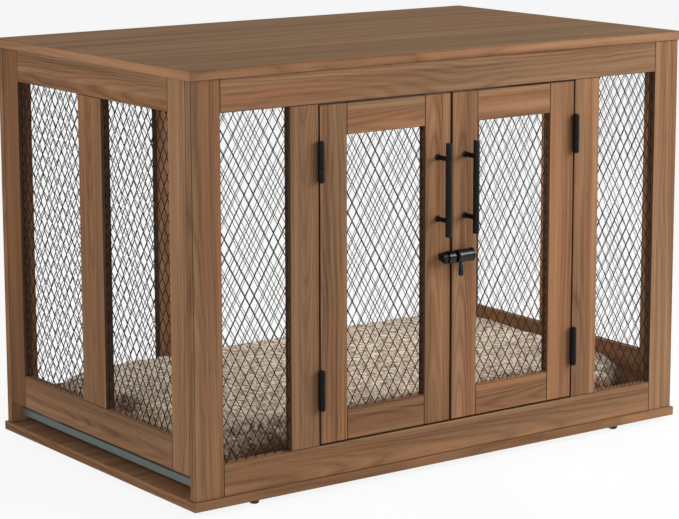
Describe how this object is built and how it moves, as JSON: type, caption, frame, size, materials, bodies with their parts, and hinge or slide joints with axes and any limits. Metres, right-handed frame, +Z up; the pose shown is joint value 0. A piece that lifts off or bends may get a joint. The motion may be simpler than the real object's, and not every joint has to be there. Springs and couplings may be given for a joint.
{
  "type": "dog crate end table",
  "caption": "Walnut-look dog crate end table with diamond mesh windows, a pair of hinged mesh doors with bar pulls and a barrel bolt, a slide-out tray and a plush cushion.",
  "frame": {"origin": "middle of the overall box on the floor, under the feet", "axes": "+X along the length to the right when facing the doors, +Y from the doors to the back, +Z up to the table top"},
  "size_m": [0.956, 0.616, 0.66],
  "materials": {
    "walnut": "satin walnut-look laminate with brown grain",
    "black_mesh": "satin black",
    "black_metal": "matt black powder coat",
    "gloss_black": "polished black",
    "tray_grey": "satin grey-green paint",
    "foot_plastic": "matt black",
    "plush": "short beige plush with a bubbled pile"
  },
  "bodies": {
    "crate": {"top_board": "walnut", "base_board": "walnut", "foot_front_left": "foot_plastic", "foot_front_right": "foot_plastic", "foot_back_left": "foot_plastic", "foot_back_right": "foot_plastic", "front_left_stile": "walnut", "front_right_stile": "walnut", "front_top_rail": "walnut", "front_bottom_rail": "walnut", "left_door_post": "walnut", "right_door_post": "walnut", "front_left_mesh": "black_mesh", "front_right_mesh": "black_mesh", "left_end_front_stile": "walnut", "left_end_rear_stile": "walnut", "left_end_top_rail": "walnut", "left_end_bottom_rail": "walnut", "left_end_mullion": "walnut", "left_end_mesh": "black_mesh", "right_end_front_stile": "walnut", "right_end_rear_stile": "walnut", "right_end_top_rail": "walnut", "right_end_bottom_rail": "walnut", "right_end_mullion": "walnut", "right_end_mesh": "black_mesh", "back_left_stile": "walnut", "back_right_stile": "walnut", "back_top_rail": "walnut", "back_bottom_rail": "walnut", "back_left_mullion": "walnut", "back_right_mullion": "walnut", "back_mesh": "black_mesh", "left_upper_hinge_frame_leaf": "black_metal", "left_lower_hinge_frame_leaf": "black_metal", "right_upper_hinge_frame_leaf": "black_metal", "right_lower_hinge_frame_leaf": "black_metal", "front_tray_runner": "foot_plastic", "back_tray_runner": "foot_plastic"},
    "left_door": {"left_door_hinge_stile": "walnut", "left_door_meeting_stile": "walnut", "left_door_top_rail": "walnut", "left_door_bottom_rail": "walnut", "left_door_mesh": "black_mesh", "left_upper_hinge_door_leaf": "black_metal", "left_lower_hinge_door_leaf": "black_metal", "left_door_pull": "black_metal", "latch_keeper": "gloss_black"},
    "right_door": {"right_door_hinge_stile": "walnut", "right_door_meeting_stile": "walnut", "right_door_top_rail": "walnut", "right_door_bottom_rail": "walnut", "right_door_mesh": "black_mesh", "right_upper_hinge_door_leaf": "black_metal", "right_lower_hinge_door_leaf": "black_metal", "right_door_pull": "black_metal", "latch_barrel": "gloss_black"},
    "bolt": {"latch_bolt": "gloss_black"},
    "tray": {"tray": "tray_grey"},
    "cushion": {"cushion": "plush"}
  },
  "joints": [
    {"name": "left_door_hinge", "type": "hinge", "parent": "crate", "child": "left_door", "pos_m": [-0.25, -0.2803, 0.335], "axis": [0, 0, -1], "range_deg": [0, 150]},
    {"name": "right_door_hinge", "type": "hinge", "parent": "crate", "child": "right_door", "pos_m": [0.25, -0.2803, 0.335], "axis": [0, 0, 1], "range_deg": [0, 150]},
    {"name": "bolt_slide", "type": "slide", "parent": "right_door", "child": "bolt", "axis": [-1, 0, 0], "range_m": [0, 0.01]},
    {"name": "tray_slide", "type": "slide", "parent": "crate", "child": "tray", "axis": [-1, 0, 0], "range_m": [0, 0.88]},
    {"name": "cushion_lift", "type": "slide", "parent": "crate", "child": "cushion", "axis": [0, 0, 1], "range_m": [0, 0.3]}
  ]
}
